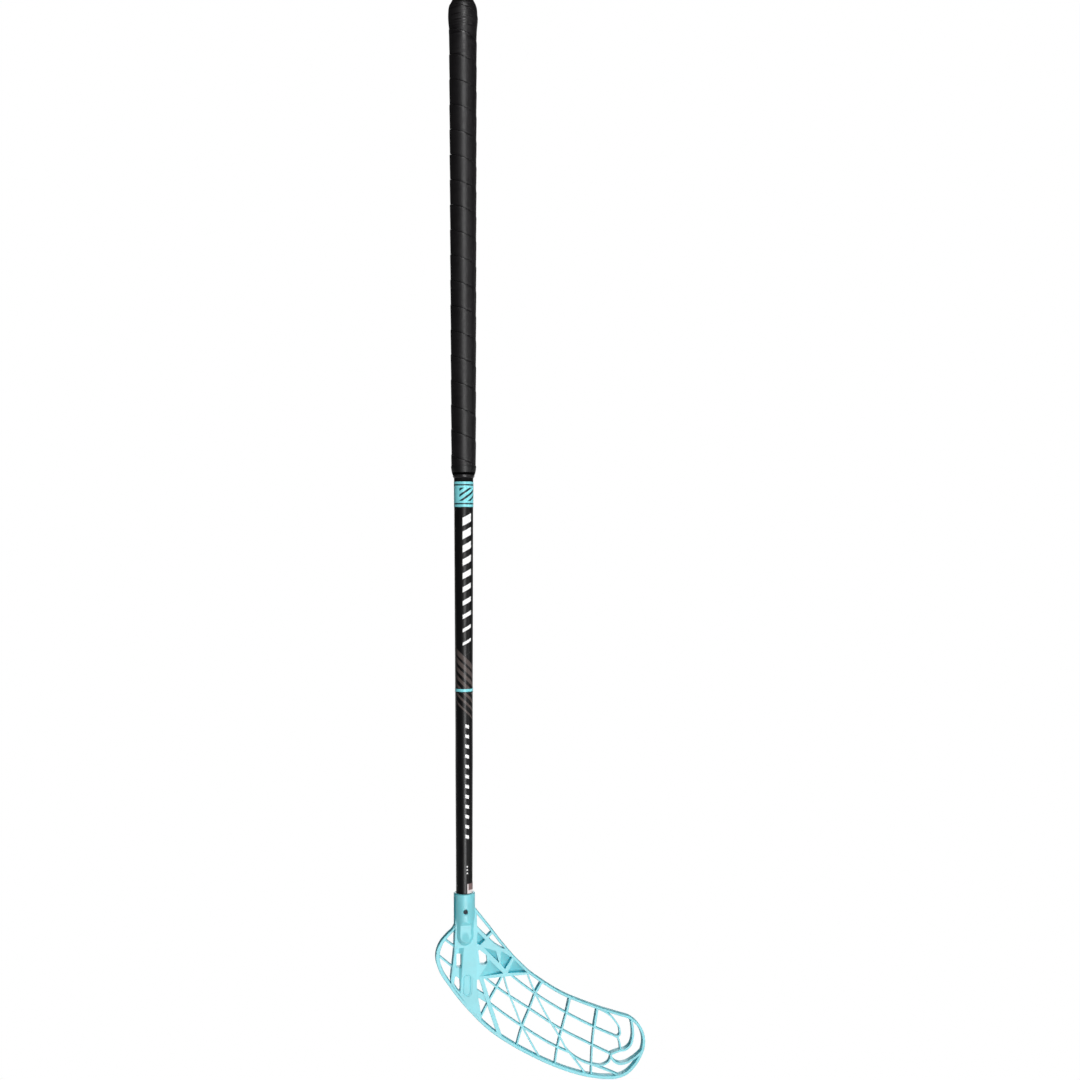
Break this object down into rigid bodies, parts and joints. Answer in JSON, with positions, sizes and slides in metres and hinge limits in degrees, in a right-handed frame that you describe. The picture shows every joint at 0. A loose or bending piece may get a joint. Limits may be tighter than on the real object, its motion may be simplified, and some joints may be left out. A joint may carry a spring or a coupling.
{
  "type": "floorball stick",
  "caption": "Straight tapered stick with a wound padded grip, a butt cap and a flat openwork blade that curves away to one side.",
  "frame": {"origin": "on the shaft's axis, at the middle of the grip", "axes": "+Z along the shaft towards the butt, +X from the shaft towards the blade's toe, and -Y out of the face seen in the picture"},
  "size_m": [0.2312, 0.0324, 1.1703],
  "materials": {
    "shaft_lacquer": "glossy black lacquer with small pale printed marks",
    "cap_rubber": "matte black",
    "grip_wrap": "matte black padded wrap with soft seams",
    "end_band_rubber": "matte dark grey",
    "band_film": "printed light turquoise film",
    "sticker_foil": "pale bare foil",
    "blade_plastic": "satin light turquoise moulding",
    "screw_steel": "dark plated"
  },
  "bodies": {
    "root": {"shaft_tube": "shaft_lacquer", "end_cap": "cap_rubber", "grip_tape": "grip_wrap", "grip_end_band": "end_band_rubber", "upper_band": "band_film", "lower_ring": "band_film", "foil_sticker": "sticker_foil", "blade": "blade_plastic", "blade_screw_front": "screw_steel", "blade_screw_back": "screw_steel"}
  },
  "joints": []
}
